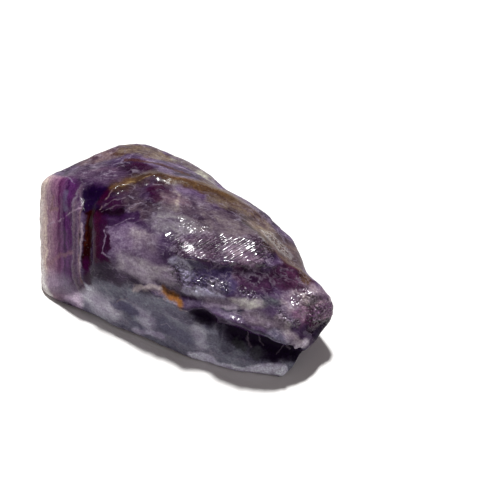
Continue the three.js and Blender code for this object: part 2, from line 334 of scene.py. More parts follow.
# The stone's own colours, each named for what has it.
COLOURS = {
    # the top and the back, in full light
    "violet grey": "433245",
    "dusk": "250620",
    "rim grey": "564446",
    "rim brown": "5d4f42",
    # a thin flake, pale partly as painted light coming through it
    "flake": "757166",
    "lilac": "716175",
    "milk": "746a6e",
    "wash": "b0a7af",
    "smoke": "3a2d32",
    "plateau": "645e63",
    "pink grey": "7d7268",
    "mauve grey": "584e50",
    "taupe": "685944",
    "brown grey": "33221d",
    "beige": "664c37",
    "olive": "453222",
    "wine": "381924",
    "comb": "442f40",
    "umber": "290b0b",
    "gold": "5d4327",
    "rust": "391505",
    # the long hollow under the ridge, and the ledge below it
    "indigo slate": "3f3554",
    "maroon violet": "3f233c",
    "violet": "3b1a35",
    "shaded lilac": "babbc8",
    "ledge": "615769",
    "ledge mauve": "484045",
    "ledge pale": "988f8f",
    "ledge slate": "1b1d24",
    "cream": "a5a297",
    "ash": "45474b",
    # the steep front; its fog, slate and foot colours are partly painted light, paler for the light that
    # passes through the stone and comes out here
    "fog": "757883",
    "fog white": "cfcfd6",
    "fog dark": "646373",
    "slate": "453e62",
    "foot": "dce0e7",
    "lilac foot": "f6e4f6",
    "tan": "b3a7a7",
    "orange": "84592c",
    "iron orange": "b4722c",
    # the blunt tip
    "tip": "82727b",
    "tip mauve": "7f5e75",
    "tip pale": "a89ea3",
    # places within them
    "heather": "371834",
    "mauve slope": "453143",
    "pale slope": "6b5c68",
    "aubergine": "3d212f",
    "rose grey": "80716e",
    "bronze": "4f3724",
    "back brown": "57483e",
    "back tan": "5c4c43",
    "olive grey": "453931",
    "brown slope": "31221f",
    "tan slope": "68503f",
    "umber slope": "422e1e",
    # painted highlight: the glinting end of the combed flat made paler
    "comb highlight": "95848a",
    "dark comb": "2f212f",
    "claret": "3e1d36",
    "ink violet": "3b334b",
    "pearl": "a3a198",
    "ledge mid": "a198a0",
    "ledge end": "71666e",
    # on the front, partly painted light like the steep front's colours
    "mist": "b6b6c0",
    "mist corner": "c2c0c8",
    "mist foot": "b8b4c4",
    # a thin flake, pale partly as painted light coming through it
    "white flake": "a2a58c",
    "tip crown": "736567",
    "tip cheek": "907284",
    "tip foot": "d2cad2",
    "tip shade": "140313",
    "swell foot": "938b8f",
    # clear dark places; under the ledge they are partly painted shade
    "glass rim": "2c0a3a",
    "claret shade": "330422",
    "indigo": "120024",
    "black": "1a0528",
    "bar": "130011",
    "plum": "290023",
    "deep plum": "2a0f34",
    "dark red": "1a0000",
    "blood": "2b0020",
    "maroon": "32032d",
}

# Soft fields: colour, amount, half width, how much of that is solid, and the line they follow.
FIELDS = [
    # the back slope and its far edge
    ("violet grey", 0.9, 4.4, 0.4, [(-19.0, 0.8, 13.2), (-17.0, 3.5, 13.1), (-13.0, 2.4, 14.6)]),
    ("dusk", 0.85, 2.2, 0.3, [(-12.9, 5.8, 14.0), (-10.5, 4.6, 14.9)]),
    ("rim grey", 0.9, 2.6, 0.5, [(-19.6, 6.0, 11.0), (-17.1, 8.9, 11.5), (-15.0, 10.0, 11.8)]),
    ("rim brown", 0.9, 2.4, 0.5, [(-15.4, 10.2, 11.9), (-11.3, 10.8, 12.4), (-8.6, 11.6, 11.8)]),
    # a thin flake, pale partly as painted light coming through it
    ("flake", 0.95, 1.9, 0.6, [(-7.4, 12.8, 10.6), (-4.2, 12.3, 10.6), (-0.8, 10.7, 11.0)]),
    # the swell beside the banded face
    ("lilac", 0.9, 4.6, 0.35, [(-8.8, -6.0, 14.6), (-5.9, -7.3, 15.0), (-2.7, -8.6, 14.7)]),
    ("milk", 0.75, 2.2, 0.2, [(-4.4, -6.0, 15.9), (-1.9, -6.8, 16.1)]),
    ("wash", 0.9, 2.4, 0.3, [(-4.3, -9.9, 12.8), (-1.8, -9.9, 13.0), (1.2, -9.6, 13.0)]),
    # the top
    ("smoke", 0.85, 2.6, 0.4, [(-8.7, -0.2, 15.6), (-6.0, -1.8, 16.3), (-3.4, -1.8, 16.7)]),
    ("pink grey", 0.85, 2.4, 0.3, [(-3.1, 2.0, 16.3), (-1.0, 1.1, 16.4)]),
    ("mauve grey", 0.85, 4.6, 0.4, [(0.6, 0.4, 16.3), (5.0, 0.8, 15.9), (10.4, 0.9, 15.2)]),
    ("plateau", 0.9, 2.8, 0.4, [(-2.1, -3.1, 16.9), (0.8, -2.9, 16.8)]),
    ("comb", 0.85, 3.2, 0.4, [(4.1, -5.4, 16.4), (8.0, -3.4, 15.9), (12.0, -1.4, 15.2)]),
    # the brown slope behind it
    ("taupe", 0.95, 2.2, 0.5, [(-0.4, 8.2, 13.7), (1.9, 7.1, 14.3), (5.2, 6.4, 13.6), (8.0, 5.4, 13.2)]),
    ("brown grey", 0.95, 2.3, 0.5, [(8.6, 4.9, 13.2), (12.2, 3.1, 13.3), (13.6, 1.6, 13.6)]),
    ("olive", 0.85, 1.0, 0.4, [(-1.4, 5.6, 15.4), (2.3, 6.1, 14.5), (4.6, 5.8, 14.2)]),
    ("beige", 0.9, 2.0, 0.5, [(12.0, 2.8, 12.8), (15.2, 1.8, 12.5), (17.6, 0.6, 12.4)]),
    ("wine", 0.85, 1.3, 0.3, [(17.4, -0.4, 12.9), (19.4, -0.4, 11.9), (20.8, -0.2, 11.4)]),
    # the long hollow under the ridge
    ("indigo slate", 0.9, 2.0, 0.5, [(4.8, -8.0, 14.4), (7.1, -7.2, 14.5), (10.4, -6.6, 13.8)]),
    ("maroon violet", 0.9, 2.1, 0.5, [(12.2, -4.6, 14.0), (14.8, -3.7, 12.6)]),
    ("violet", 0.9, 2.1, 0.4, [(16.7, -1.9, 12.6), (19.8, -1.5, 11.4)]),
    ("shaded lilac", 0.8, 1.2, 0.3, [(2.4, -7.6, 15.2), (4.6, -8.4, 13.8)]),
    # the ledge
    ("shaded lilac", 0.85, 1.2, 0.4, [(5.0, -9.4, 12.4), (8.0, -9.2, 12.5), (10.8, -8.9, 12.4)]),
    ("ledge", 0.9, 1.6, 0.4, [(6.1, -10.3, 11.0), (10.0, -9.9, 11.0), (14.0, -9.6, 10.6)]),
    ("ledge slate", 0.85, 1.0, 0.4, [(11.4, -9.8, 11.0), (15.0, -8.9, 10.8)]),
    ("ledge mauve", 0.9, 1.6, 0.4, [(15.9, -8.8, 10.3), (19.0, -8.5, 9.0)]),
    ("ledge pale", 0.9, 1.3, 0.4, [(18.9, -7.3, 10.1), (20.6, -8.2, 8.4), (22.5, -8.1, 6.8)]),
    ("cream", 0.85, 0.9, 0.3, [(11.4, -8.6, 12.5), (12.8, -8.1, 12.3)]),
    ("cream", 0.85, 1.1, 0.3, [(14.0, -7.9, 11.9), (15.7, -7.0, 11.6)]),
    ("ash", 0.8, 1.4, 0.3, [(16.0, -6.4, 11.7), (18.3, -5.2, 11.1), (20.6, -4.7, 10.8)]),
    # the steep front, paler partly as painted light that comes through the stone
    ("fog", 0.97, 7.0, 0.75, [(-5.6, -13.0, 3.4), (4.0, -12.9, 4.2), (12.0, -12.6, 4.0), (19.5, -11.4, 2.6)]),
    ("fog white", 0.9, 3.8, 0.1, [(-9.6, -12.8, 4.6), (-7.4, -13.1, 3.6)]),
    ("fog white", 0.5, 1.4, 0.2, [(-0.4, -12.6, 5.2), (0.8, -13.1, 2.9)]),
    ("fog white", 0.45, 1.8, 0.2, [(7.9, -12.2, 6.9), (9.0, -12.6, 3.2)]),
    ("fog dark", 0.8, 1.6, 0.3, [(3.6, -11.9, 8.0), (6.2, -12.1, 7.6)]),
    ("lilac foot", 0.85, 2.6, 0.3, [(-16.3, -12.2, 3.1), (-12.6, -12.9, 2.8)]),
    ("foot", 0.9, 1.3, 0.5, [(7.8, -13.3, 0.6), (12.4, -12.9, 0.8), (16.7, -12.0, 1.0), (21.6, -10.4, 1.4)]),
    # the blunt tip
    ("tip", 0.9, 3.6, 0.5, [(20.7, -3.6, 10.9), (22.2, -2.4, 10.4), (23.7, -2.1, 9.4)]),
    ("tip mauve", 0.9, 1.8, 0.4, [(21.5, -5.3, 9.8), (22.4, -3.6, 9.6), (24.0, -2.4, 8.8)]),
    ("tip pale", 0.85, 1.2, 0.4, [(22.0, -8.7, 6.8), (23.2, -7.4, 6.5)]),
    # places within these, smaller or nearer to one colour
    ("heather", 0.85, 1.5, 0.3, [(-10.5, 6.2, 14.5), (-7.6, 4.9, 15.9)]),
    ("mauve slope", 0.8, 1.5, 0.3, [(-16.4, 3.4, 13.4), (-14.1, 4.5, 13.9)]),
    ("pale slope", 0.8, 1.3, 0.3, [(-17.9, 1.7, 13.2), (-16.9, 3.0, 13.3)]),
    ("aubergine", 0.85, 1.4, 0.3, [(-6.5, 2.0, 16.1), (-4.6, 3.3, 15.9)]),
    ("rose grey", 0.85, 1.4, 0.3, [(-2.8, 1.4, 16.5), (-0.8, 2.0, 16.1)]),
    ("bronze", 0.8, 1.2, 0.3, [(-5.5, 4.7, 16.0), (-2.9, 5.6, 15.6), (0.8, 6.1, 14.8)]),
    ("olive grey", 0.85, 1.6, 0.4, [(2.5, 4.7, 15.1), (5.4, 4.9, 14.3)]),
    ("brown slope", 0.85, 1.8, 0.4, [(9.4, 3.3, 14.4), (13.3, 2.7, 13.1)]),
    ("tan slope", 0.85, 1.2, 0.4, [(14.6, 1.4, 13.5), (16.7, 1.1, 12.5)]),
    ("umber slope", 0.85, 1.2, 0.4, [(17.6, 1.1, 12.1), (19.7, 0.0, 11.7)]),
    # painted highlight: the glinting end of the combed flat made paler
    ("comb highlight", 0.8, 1.6, 0.3, [(10.0, -2.8, 15.7), (13.2, -2.6, 14.7)]),
    ("dark comb", 0.8, 1.4, 0.3, [(3.2, -5.5, 16.5), (5.8, -4.4, 16.2)]),
    ("claret", 0.85, 1.3, 0.4, [(18.0, -1.8, 12.0), (20.2, -1.8, 11.2)]),
    ("ink violet", 0.85, 1.2, 0.4, [(7.2, -8.1, 13.7), (10.6, -7.4, 13.4)]),
    ("pearl", 0.85, 1.0, 0.3, [(12.0, -8.3, 12.6), (15.2, -7.0, 11.8)]),
    ("ledge mid", 0.85, 1.2, 0.3, [(9.3, -9.6, 11.3), (12.9, -8.9, 11.4)]),
    ("ledge end", 0.85, 1.4, 0.3, [(15.3, -8.6, 10.6), (19.1, -7.7, 9.5)]),
    # on the front, partly painted light like the steep front's colours
    ("mist", 0.8, 1.9, 0.3, [(-1.8, -12.4, 5.2), (0.6, -12.6, 4.8)]),
    ("mist foot", 0.8, 1.3, 0.3, [(-1.6, -13.3, 1.9), (2.6, -13.4, 1.9)]),
    ("mist corner", 0.6, 2.0, 0.1, [(-8.1, -12.8, 4.2), (-6.0, -12.9, 4.0)]),
    # a thin flake, pale partly as painted light coming through it
    ("white flake", 0.8, 1.0, 0.3, [(-3.0, 10.8, 11.3), (-0.8, 10.6, 11.0)]),
    ("swell foot", 0.8, 1.3, 0.3, [(-2.2, -9.2, 14.0), (0.8, -9.2, 13.8)]),
    (
        "back brown",
        0.85,
        3.4,
        0.5,
        [(3.0, 7.4, 13.0), (8.0, 6.0, 12.6), (13.0, 4.2, 12.0), (17.0, 2.4, 11.4)],
    ),
    ("back tan", 0.4, 2.0, 0.2, [(9.0, 4.4, 13.2), (13.0, 3.4, 12.6), (18.0, 1.6, 11.6)]),
    ("tip crown", 0.85, 1.4, 0.3, [(20.6, -3.3, 10.9), (23.0, -2.1, 10.3)]),
    ("tip cheek", 0.85, 1.3, 0.3, [(23.5, -2.4, 9.4), (24.7, -2.8, 7.5)]),
    ("tip foot", 0.85, 1.1, 0.3, [(22.1, -9.0, 6.1), (23.5, -7.3, 6.2)]),
    ("tip shade", 0.9, 1.5, 0.5, [(23.4, -5.0, 7.6), (24.6, -4.0, 6.4)]),
]

# Torn patches and stains, in the same terms.
STAINS = [
    # beside the banded face
    ("deep plum", 0.85, 3.0, 0.5, [(-12.4, -4.6, 13.4), (-10.6, -7.4, 12.6), (-9.8, -9.6, 11.6)]),
    ("plum", 0.8, 1.6, 0.3, [(-12.2, -1.9, 14.7), (-9.6, -2.2, 15.3)]),
    ("deep plum", 0.9, 2.6, 0.1, [(-15.8, -0.7, 13.5), (-13.6, -0.2, 14.6), (-11.0, 0.4, 15.3)]),
    ("indigo", 0.97, 1.7, 0.25, [(-16.0, -1.3, 13.1), (-14.5, -0.9, 13.9), (-12.6, -0.3, 14.9)]),
    ("indigo", 0.97, 1.5, 0.3, [(-15.2, -2.9, 12.8), (-13.7, -1.9, 13.8)]),
    ("blood", 0.95, 1.1, 0.2, [(-13.0, -3.2, 13.9), (-12.7, -1.4, 14.6), (-12.3, 0.0, 15.1)]),
    ("black", 0.95, 1.2, 0.3, [(-14.8, -3.6, 12.7), (-13.1, -3.3, 13.8)]),
    (
        "dark red",
        0.98,
        1.25,
        0.4,
        [(-13.5, -4.1, 13.0), (-12.5, -6.5, 12.0), (-11.8, -8.6, 10.5), (-11.3, -10.2, 9.2)],
    ),
    ("rust", 0.5, 0.4, 0.1, [(-14.1, -4.5, 12.7), (-13.0, -6.5, 11.7), (-12.4, -8.2, 10.7)]),
    ("bar", 0.97, 1.4, 0.3, [(-12.2, -3.9, 14.1), (-10.6, -3.8, 14.6), (-8.6, -3.5, 15.3)]),
    ("deep plum", 0.9, 1.2, 0.4, [(-11.3, -5.2, 14.0), (-8.4, -4.6, 15.0), (-6.0, -3.4, 16.0)]),
    ("claret shade", 0.92, 1.3, 0.3, [(-12.2, -4.6, 13.9), (-10.7, -7.3, 13.1), (-9.7, -9.8, 11.7)]),
    ("plum", 0.8, 1.2, 0.2, [(-10.7, -5.3, 14.2), (-9.2, -7.8, 13.6), (-8.6, -9.9, 12.1)]),
    ("plum", 0.95, 0.7, 0.4, [(-8.8, -7.3, 14.1), (-8.0, -8.8, 13.3)]),
    ("maroon", 0.9, 0.6, 0.4, [(-9.0, -10.1, 11.8), (-7.5, -10.0, 12.3)]),
    ("maroon", 0.85, 1.0, 0.3, [(-11.4, -10.0, 9.4), (-10.6, -11.6, 6.7)]),
    ("deep plum", 0.75, 1.1, 0.3, [(-7.1, -10.8, 10.4), (-5.4, -11.4, 9.2)]),
    # on the top and the back slope
    ("deep plum", 0.7, 0.7, 0.3, [(-4.9, -4.3, 16.2), (-2.7, -5.2, 16.5)]),
    ("plum", 0.85, 1.2, 0.3, [(-6.5, 1.8, 16.1), (-4.4, 0.5, 16.6)]),
    ("plum", 0.6, 0.9, 0.3, [(-4.6, 3.4, 15.9), (-3.8, 2.6, 16.2)]),
    ("plum", 0.9, 1.5, 0.2, [(-11.2, 6.5, 14.2), (-9.1, 6.2, 14.8), (-7.0, 5.3, 15.9)]),
    ("rust", 0.8, 0.7, 0.3, [(-13.6, 7.1, 13.4), (-9.7, 8.0, 13.9), (-6.7, 8.2, 14.0), (-3.4, 8.2, 13.8)]),
    ("rust", 0.7, 0.9, 0.3, [(-16.0, 8.5, 12.0), (-15.2, 8.4, 12.4)]),
    ("umber", 0.8, 0.9, 0.3, [(-9.8, 2.4, 15.6), (-8.0, 4.2, 15.8), (-6.4, 5.2, 15.9)]),
    ("olive", 0.75, 2.4, 0.05, [(-11.4, 0.9, 15.3), (-9.4, 3.0, 15.7), (-7.2, 5.0, 15.8)]),
    ("gold", 0.6, 1.2, 0.0, [(-11.9, 0.4, 15.2), (-10.9, 1.5, 15.4), (-9.9, 2.6, 15.6)]),
    ("olive", 0.75, 2.2, 0.05, [(-5.2, 4.9, 15.8), (-2.5, 5.7, 15.6), (-0.3, 6.3, 15.0), (4.3, 7.2, 13.5)]),
    ("gold", 0.55, 1.4, 0.0, [(-4.9, 5.3, 15.8), (-2.2, 6.1, 15.4), (0.2, 6.9, 14.8), (3.4, 7.4, 13.8)]),
    # the iron stain in the groove behind the ledge, and the fresh tan edge beside it
    ("deep plum", 0.8, 0.6, 0.3, [(3.6, -9.9, 11.2), (6.8, -10.2, 11.2)]),
    ("orange", 0.9, 1.0, 0.2, [(1.7, -10.5, 11.0), (3.2, -10.7, 10.6), (5.0, -11.2, 10.3)]),
    ("iron orange", 0.3, 0.6, 0.2, [(3.3, -10.9, 10.5), (4.7, -11.2, 10.3)]),
    ("tan", 0.75, 0.7, 0.3, [(-2.4, -11.4, 9.8), (-0.2, -10.9, 11.0), (1.2, -10.6, 11.0)]),
    # in the fog of the front
    ("slate", 0.85, 1.6, 0.4, [(-5.1, -12.6, 5.2), (-2.6, -12.5, 4.9)]),
    ("slate", 0.5, 1.2, 0.3, [(-2.4, -13.2, 2.6), (-0.8, -13.2, 2.2)]),
    ("slate", 0.6, 1.9, 0.3, [(2.3, -12.6, 4.8), (6.3, -12.9, 4.0)]),
    ("fog dark", 0.9, 1.5, 0.4, [(10.6, -12.2, 5.6), (12.6, -11.8, 4.6)]),
    # the shaded side of the tip
    ("maroon", 0.9, 0.9, 0.4, [(22.6, -5.0, 8.7), (24.0, -4.4, 7.1)]),
    ("black", 0.9, 1.1, 0.4, [(24.2, -5.0, 6.4), (24.9, -3.6, 6.4)]),
    ("maroon", 0.7, 0.8, 0.3, [(22.2, -3.6, 9.7), (22.5, -4.2, 9.1)]),
    ("ledge", 0.7, 0.6, 0.3, [(23.0, -6.4, 7.4), (23.6, -6.4, 6.6)]),
]

# The clear dark glass under the ledge, its darkness partly painted shade, in the same terms, each line seen
# from the front: X and Z.
DARK_GLASS_AND_SHADE = [
    ("deep plum", 0.85, 2.2, 0.1, [(7.0, 9.2), (8.8, 8.9), (10.6, 9.2)]),
    ("black", 0.95, 1.3, 0.15, [(7.6, 9.0), (8.8, 8.7), (10.0, 9.0)]),
    ("deep plum", 0.95, 0.9, 0.5, [(10.3, 9.4), (12.0, 9.5), (13.6, 9.4)]),
    ("glass rim", 0.95, 1.2, 0.6, [(13.6, 8.9), (17.6, 8.1), (21.3, 6.1)]),
    ("glass rim", 0.85, 3.0, 0.2, [(13.2, 7.2), (16.6, 6.2), (19.6, 5.4), (21.8, 4.6)]),
    ("black", 0.98, 2.0, 0.4, [(12.4, 8.2), (13.4, 6.4), (14.2, 5.8)]),
    ("black", 0.99, 2.2, 0.45, [(15.0, 7.0), (16.4, 5.9), (18.4, 5.0), (19.6, 4.2)]),
    ("indigo", 0.8, 1.4, 0.3, [(17.6, 6.8), (19.6, 6.0)]),
    ("black", 0.99, 2.1, 0.5, [(20.8, 4.8), (22.2, 4.0)]),
    ("ash", 0.85, 0.8, 0.3, [(13.6, 4.9), (14.8, 4.3)]),
    ("ash", 0.7, 0.7, 0.2, [(16.3, 3.9), (17.4, 3.4)]),
]

# Pale wisps in it: amount, half width and line.
WISPS = [
    (0.75, 0.22, [(13.9, 8.9), (15.0, 7.4), (15.0, 5.6), (15.9, 4.4)]),
    (0.6, 0.2, [(15.0, 8.6), (16.6, 8.5), (18.4, 7.6), (20.6, 6.3)]),
    (0.5, 0.18, [(17.0, 7.9), (16.6, 6.4), (17.4, 4.6)]),
    (0.65, 0.2, [(19.4, 7.2), (20.0, 5.6), (21.2, 4.2)]),
    (0.5, 0.18, [(20.6, 6.3), (20.5, 4.8), (19.6, 3.6)]),
    (0.4, 0.16, [(12.4, 8.9), (13.4, 8.6), (14.2, 7.6)]),
]
WISP_COLOUR = "847888"

# Stains that are clear dark glass.
GLASSY = ("indigo", "black", "bar", "dark red")

# Where the front begins and is whole, along Y, and how much calmer its colour is.
FRONT_REACH = (-5.6, -6.6)
FRONT_CALM = 0.5

# How far the shell-shaped faces of the glass there lean back, as a share of straight up.
HOLLOW_TILT = 0.7

# Pale cracks and thin edges, two of them painted light: colour, amount, half width and the line each follows.
CRACKS_AND_EDGE_LIGHT = [
    # round the swell and over the dark patches beside it
    (
        "9a8892",
        0.85,
        0.5,
        [(-14.5, -5.6, 11.8), (-13.5, -7.4, 11.0), (-12.9, -9.4, 9.5), (-12.1, -11.6, 7.3)],
    ),
    ("9c8aa2", 0.5, 0.22, [(-9.8, -6.5, 14.1), (-9.4, -7.4, 13.8), (-8.9, -9.5, 12.4), (-7.1, -9.7, 12.9)]),
    ("8a7890", 0.45, 0.22, [(-9.8, -6.0, 14.3), (-8.2, -5.2, 15.0), (-6.2, -3.7, 15.9)]),
    ("8a7890", 0.4, 0.2, [(-8.4, -7.5, 14.2), (-6.1, -9.2, 13.7), (-4.4, -10.2, 11.9)]),
    ("8c7478", 0.45, 0.2, [(-12.3, -3.4, 14.2), (-12.1, -1.4, 14.9), (-11.6, 0.2, 15.3)]),
    ("7c6c78", 0.45, 0.2, [(-12.0, -3.0, 14.3), (-11.0, -1.8, 15.0), (-9.4, -0.6, 15.4)]),
    ("74646f", 0.4, 0.2, [(-11.8, -3.7, 14.3), (-10.0, -2.3, 15.2), (-7.4, -1.7, 15.9)]),
    # the gold fibres of the crest
    ("8c7450", 0.45, 0.2, [(-11.0, 0.7, 15.5), (-9.3, 2.5, 15.7), (-7.3, 4.2, 16.1)]),
    ("80684c", 0.4, 0.2, [(-10.2, 1.9, 15.5), (-8.1, 3.4, 15.9), (-6.8, 5.6, 15.6)]),
    # the ridge; the edge of the ledge, pale as a painted highlight; and the lower edge, pale as painted light
    # through the thin edge
    (
        "7c6474",
        0.75,
        0.2,
        [(3.1, -7.1, 16.0), (5.2, -6.7, 16.1), (9.2, -5.2, 15.5), (13.0, -2.6, 14.6), (18.8, 0.2, 12.2)],
    ),
    # painted highlight along the edge of the ledge
    (
        "94868e",
        0.8,
        0.2,
        [(-5.7, -12.7, 5.6), (-3.6, -12.1, 7.5), (-0.7, -11.1, 10.7), (2.9, -11.4, 9.9), (7.0, -11.7, 9.8)],
    ),
    # painted light: the thin lower edge paler, as if lit through
    (
        "b8aec4",
        0.9,
        0.22,
        [
            (-17.6, -12.9, 0.4),
            (-13.0, -13.6, 0.4),
            (-3.0, -13.6, 0.4),
            (6.4, -13.4, 0.4),
            (14.4, -12.8, 0.4),
            (21.6, -10.8, 0.4),
        ],
    ),
    # arcs in the fog, and wisps in the dark glass
    ("a09cae", 0.6, 0.18, [(2.0, -12.7, 4.4), (3.1, -12.5, 5.2), (3.8, -12.6, 4.7), (5.0, -12.7, 4.8)]),
    ("a09cae", 0.5, 0.18, [(3.7, -12.1, 7.0), (5.2, -12.2, 7.3), (6.9, -12.0, 8.0)]),
]

# The banded face: a direction across the bands and one along them, and the plane that it lies in.
BAND_ACROSS = (0.797, -0.057, 0.601)
BAND_ALONG = (0.36, -0.753, -0.55)
BAND_FACING = (-0.47, -0.65, 0.60)
BAND_DEPTH = (15.9, 16.9)
BAND_END = -4.25
BAND_BLEND = 0.3
BAND_SWAY = 0.8
BAND_STRETCH = 0.06

# Its bands, from the outer edge of the pale bevel to the groove: where each stands, in mm, and colour.
BANDS = [
    # the bevel's pale stops: partly painted light, the thin edge lit through
    (-15.0, "a4968e"),
    (-12.9, "c4b0a9"),
    (-12.55, "ae9794"),
    (-12.1, "987c87"),
    (-10.7, "805c74"),
    (-10.1, "7d5571"),
    (-9.7, "684161"),
    (-9.3, "55254e"),
    (-8.7, "5f385f"),
    (-8.3, "543157"),
    (-8.0, "370f3e"),
    (-7.5, "522759"),
    (-6.6, "451c4c"),
    (-6.1, "4a294e"),
    (-5.95, "6a5b6d"),
    (-5.6, "64505f"),
    (-5.25, "58465a"),
    (-4.9, "634d64"),
    (-4.55, "70596a"),
    (-4.2, "897063"),
]

# Marks on the banded face: colour, amount, half width and the line each follows.
BAND_MARKS = [
    ("5c4d6a", 0.85, 0.75, [(-19.4, -1.6, 12.2), (-18.3, -3.7, 11.3)]),
    ("341640", 0.85, 0.55, [(-17.4, -0.6, 13.0), (-16.6, -2.8, 12.5)]),
    ("0c0022", 0.95, 0.8, [(-16.0, -1.2, 13.3), (-15.2, -3.0, 12.8)]),
    ("7a5a5c", 0.6, 0.5, [(-21.5, -2.2, 10.4), (-21.3, -3.6, 8.9), (-20.1, -3.5, 9.9)]),
    (
        "9a8296",
        0.75,
        0.25,
        [(-21.1, -5.3, 7.3), (-18.8, -5.0, 9.6), (-16.9, -4.2, 11.9), (-15.7, -3.7, 12.7)],
    ),
    ("7e5c66", 0.55, 0.6, [(-19.0, -9.7, 3.9), (-16.9, -9.0, 6.4), (-14.7, -8.8, 8.5)]),
    ("8a7a92", 0.7, 0.18, [(-21.6, 1.4, 11.6), (-20.1, 0.8, 12.7), (-18.6, 0.1, 13.2)]),
    # the pale lower corner and left edge: partly painted light, the thin edge lit through
    ("a094aa", 0.55, 2.8, [(-18.4, -12.0, 2.0), (-14.2, -12.6, 4.2)]),
    ("f0ece8", 0.85, 1.2, [(-20.6, -9.4, 2.8), (-19.0, -12.0, 1.2), (-17.4, -13.2, 0.8)]),
    ("d8ccc8", 0.7, 0.9, [(-23.8, -2.6, 8.2), (-21.6, -7.6, 4.2), (-20.4, -10.0, 2.4)]),
    ("1c0c12", 0.8, 0.16, [(-20.9, -6.1, 6.6), (-20.8, -6.3, 6.5)]),
]

# Which way the stone's fibres run, past the banded face, and how drawn out they are.
GRAIN = (0.98, 0.12, -0.13)
GRAIN_SIDE = (-0.12, 0.99, 0.0)
GRAIN_STRETCH = 0.3

# How far colours stray from their lines: by how many mm, at what scale, and in how much detail.
SOFT_EDGE = (3.6, 0.26, 2.0)
TORN_EDGE = (1.7, 0.7, 3.0)
NEAT_EDGE = (1.1, 0.7, 2.0)

# What the colour is multiplied by, from dark to light, as it drifts, streaks and turns grainy.
DRIFT = ((0.56, 0.46, 0.64), (1.38, 1.42, 1.38))
STREAKS = ((0.8, 0.74, 0.84), (1.2, 1.23, 1.18))
FIBRES = ((0.78, 0.72, 0.8), (1.24, 1.27, 1.22))
BAND_HAIRS = ((0.72, 0.64, 0.76), (1.28, 1.36, 1.26))
SPECKS = ((0.8, 0.76, 0.82), (1.22, 1.25, 1.22))

# Pale threads: colour, amount, scale and width.
LONG_THREADS = ("9c92a2", 0.32, 0.55, 0.035)
SHORT_THREADS = ("9c90a0", 0.28, 0.9, 0.05)

# White specks on broken ground: painted glints, laid only where the ground sparkles.
PAINTED_GLINTS = ("c8bcc8", 0.25)

# Polish: on plain ground, what broken ground adds, what dark glass takes away, and the least of all.
PLAIN_GLOSS = 0.18
BROKEN_GLOSS = 0.7
GLASS_DULLING = 0.85
LEAST_GLOSS = 0.04
SMOOTH = 0.12

# Bumps too small to model: the size and steepness of the crystal faces, and the height of the lumps.
CRYSTAL_SIZE = 0.4
CRYSTAL_STEEPNESS = 0.8
LUMP_HEIGHT = 0.09

# Quartz: how it bends light, how see-through it is here, and how it darkens with depth.
QUARTZ_IOR = 1.544
SEE_THROUGH = 0.1
DEEP_COLOUR = (0.5, 0.2, 0.6, 1)
DEEP_DENSITY = 120.0


def material_tree(name):
    material = bpy.data.materials.new(name)
    material.use_nodes = True
    material.node_tree.nodes.clear()
    return material, material.node_tree


class Bench:
    """Adds nodes to a tree. A socket given as an input is linked, and anything else is set on it."""

    def __init__(self, tree):
        self.tree = tree

    def node(self, kind, inputs=(), **settings):
        made = self.tree.nodes.new(kind)
        for name, value in settings.items():
            setattr(made, name, value)
        for key, value in dict(inputs).items():
            socket = made.inputs[key]
            if isinstance(value, bpy.types.NodeSocket):
                self.tree.links.new(value, socket)
            else:
                socket.default_value = value
        return made

    def math(self, operation, *values):
        return self.node("ShaderNodeMath", dict(enumerate(values)), operation=operation).outputs[0]

    def vector(self, operation, *values):
        made = self.node("ShaderNodeVectorMath", dict(enumerate(values)), operation=operation)
        return made.outputs["Value" if operation in ("LENGTH", "DISTANCE", "DOT_PRODUCT") else "Vector"]

    def scaled(self, vector, factor):
        made = self.node("ShaderNodeVectorMath", {0: vector, "Scale": factor}, operation="SCALE")
        return made.outputs["Vector"]

    def fade(self, value, low, high):
        """0 where VALUE is LOW and 1 where it is HIGH, eased between."""
        made = self.node(
            "ShaderNodeMapRange",
            {"Value": value, "From Min": low, "From Max": high, "To Min": 0.0, "To Max": 1.0},
            interpolation_type="SMOOTHSTEP",
            clamp=False,
        )
        return made.outputs["Result"]

    def noise(self, place, scale, detail=3.0, roughness=0.5, distortion=0.0, output="Fac"):
        made = self.node(
            "ShaderNodeTexNoise",
            {
                "Vector": place,
                "Scale": scale,
                "Detail": detail,
                "Roughness": roughness,
                "Distortion": distortion,
            },
        )
        return made.outputs[output]

    def mix(self, under, over, amount):
        made = self.node("ShaderNodeMix", {0: amount, 6: under, 7: over}, data_type="RGBA")
        return made.outputs[2]

    def highest(self, one, other):
        """The higher of two masks, where the first may be missing."""
        return other if one is None else self.math("MAXIMUM", one, other)

    def toned(self, paint, value, dark, light):
        """PAINT multiplied by DARK where VALUE is 0 and by LIGHT where it is 1."""
        return self.vector("MULTIPLY", paint, self.mix((*dark, 1), (*light, 1), value))

    def group(self, tree, **inputs):
        """The outputs of a node group, its inputs linked or set by name."""
        made = self.node("ShaderNodeGroup", node_tree=tree)
        for name, value in inputs.items():
            socket = made.inputs[name]
            if isinstance(value, bpy.types.NodeSocket):
                self.tree.links.new(value, socket)
            else:
                socket.default_value = value
        return made.outputs


def new_group(name, inputs, output):
    """An empty node group with these inputs and one output, and a bench to fill it with."""
    tree = bpy.data.node_groups.new(name, "ShaderNodeTree")
    for socket, socket_kind in inputs.items():
        tree.interface.new_socket(socket, in_out="INPUT", socket_type=f"NodeSocket{socket_kind}")
    tree.interface.new_socket(output, in_out="OUTPUT", socket_type="NodeSocketFloat")
    bench = Bench(tree)
    return tree, bench, bench.node("NodeGroupInput").outputs


